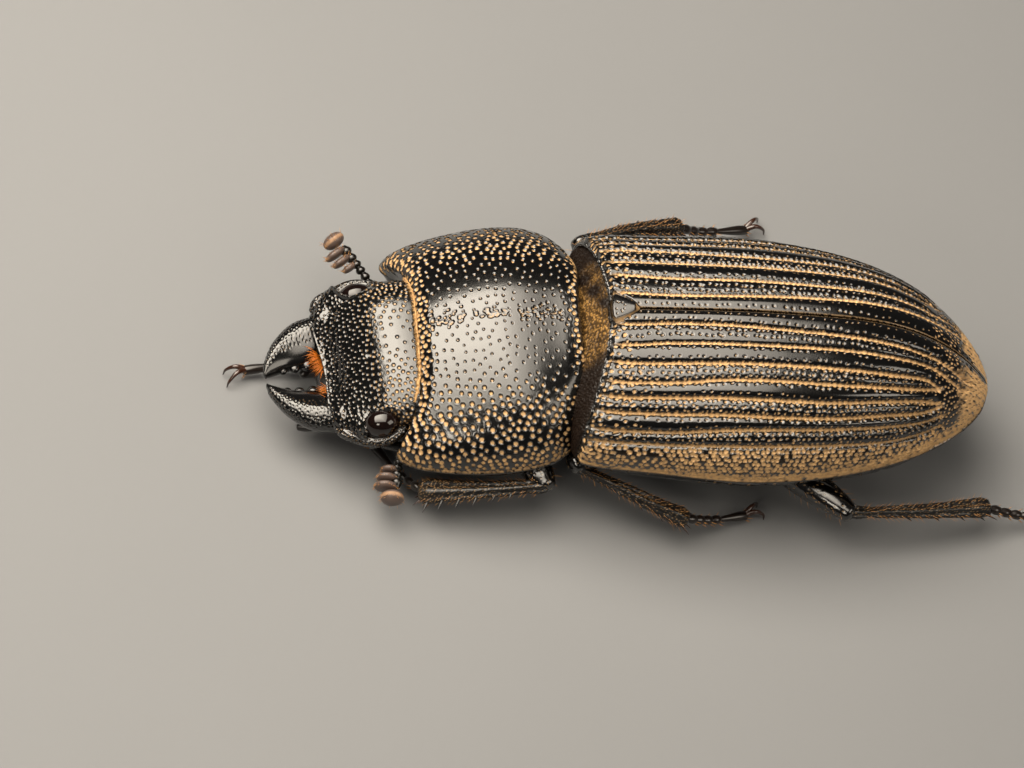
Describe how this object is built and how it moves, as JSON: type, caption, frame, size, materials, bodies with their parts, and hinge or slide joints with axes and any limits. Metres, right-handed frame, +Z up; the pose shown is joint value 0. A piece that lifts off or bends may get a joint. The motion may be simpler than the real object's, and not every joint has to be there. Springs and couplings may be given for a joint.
{
  "type": "stag beetle",
  "caption": "Small black stag beetle standing with its body curved left, with short closed jaws, plate-clubbed feelers and grooved wing cases.",
  "frame": {"origin": "bottom centre of the bounding box, on the floor the feet stand on", "axes": "+Z up, -X towards the head, +X towards the tips of the wing cases along their seam, +Y to the beetle's right"},
  "size_m": [0.022, 0.0108, 0.0048],
  "materials": {
    "black_shell": "glossy black horn-like shell with tan-filled pits and grooves",
    "dark_joint": "glossy dark brown",
    "golden_waist": "finely granular golden brown",
    "club": "dull greyish brown, velvety",
    "eye": "very glossy dark brown"
  },
  "bodies": {
    "root": {"abdomen": "black_shell", "antenna_club_left": "club", "antenna_club_right": "club", "antenna_scape_left": "black_shell", "antenna_scape_right": "black_shell", "antenna_stalk_left": "black_shell", "antenna_stalk_right": "black_shell", "coxa_front_left": "dark_joint", "coxa_front_right": "dark_joint", "coxa_hind_left": "dark_joint", "coxa_hind_right": "dark_joint", "coxa_middle_left": "dark_joint", "coxa_middle_right": "dark_joint", "elytron_left": "black_shell", "elytron_right": "black_shell", "eye_left": "eye", "eye_right": "eye", "femur_front_left": "black_shell", "femur_front_right": "black_shell", "femur_hind_left": "black_shell", "femur_hind_right": "black_shell", "femur_middle_left": "black_shell", "femur_middle_right": "black_shell", "head": "black_shell", "labial_palp_left": "dark_joint", "labial_palp_right": "dark_joint", "mandible_left": "black_shell", "mandible_right": "black_shell", "maxillary_palp_left": "dark_joint", "maxillary_palp_right": "dark_joint", "mesonotum": "golden_waist", "prothorax": "black_shell", "pterothorax": "black_shell", "scutellum": "black_shell", "tarsus_front_left": "dark_joint", "tarsus_front_right": "dark_joint", "tarsus_hind_left": "dark_joint", "tarsus_hind_right": "dark_joint", "tarsus_middle_left": "dark_joint", "tarsus_middle_right": "dark_joint", "tibia_front_left": "black_shell", "tibia_front_right": "black_shell", "tibia_hind_left": "black_shell", "tibia_hind_right": "black_shell", "tibia_middle_left": "black_shell", "tibia_middle_right": "black_shell"}
  },
  "joints": []
}
